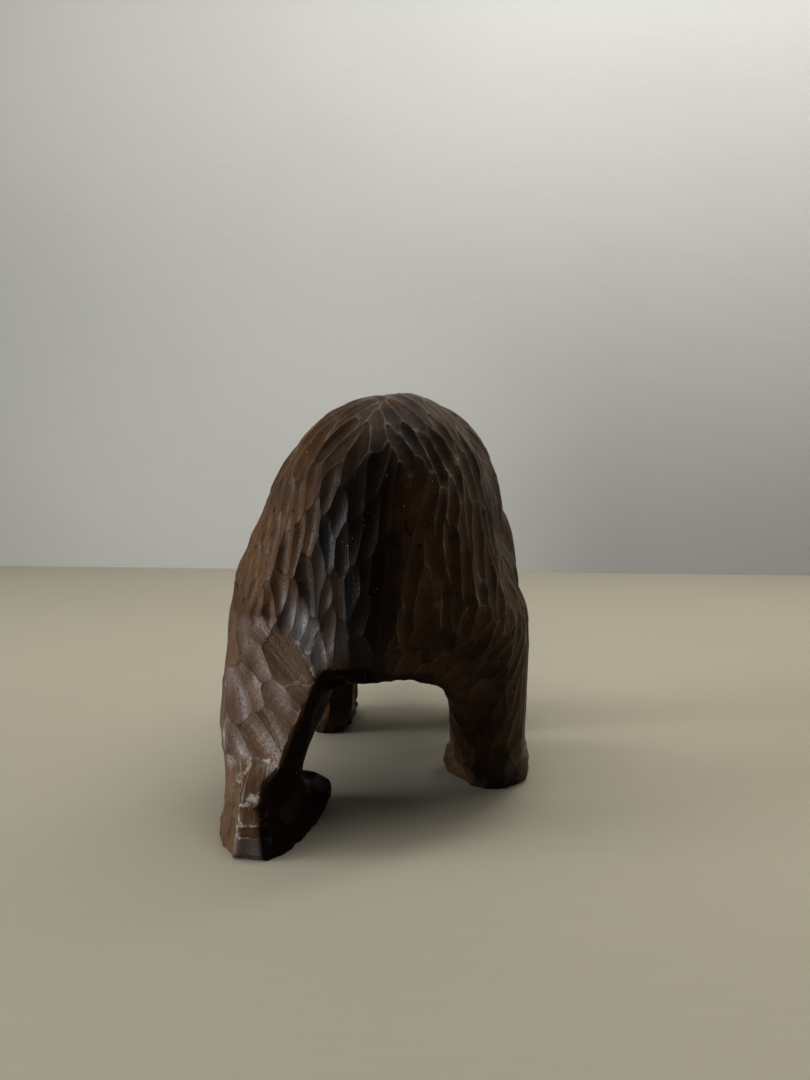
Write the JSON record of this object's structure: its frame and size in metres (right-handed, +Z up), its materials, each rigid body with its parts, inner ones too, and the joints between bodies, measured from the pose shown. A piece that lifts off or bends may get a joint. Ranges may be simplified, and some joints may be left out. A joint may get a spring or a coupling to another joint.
{
  "type": "carved wooden bear",
  "caption": "Walking bear carved from one block of dark stained wood, its whole coat cut in long gouge facets.",
  "frame": {"origin": "on the ground, under the middle of the bear's outline seen from above", "axes": "-Y the way the bear walks and looks, +X to its left, +Z up"},
  "size_m": [0.091, 0.1866, 0.1237],
  "materials": {
    "stained_wood": "dark brown stain with a worn, half-gloss oil or lacquer"
  },
  "bodies": {
    "root": {"bear": "stained_wood"}
  },
  "joints": []
}
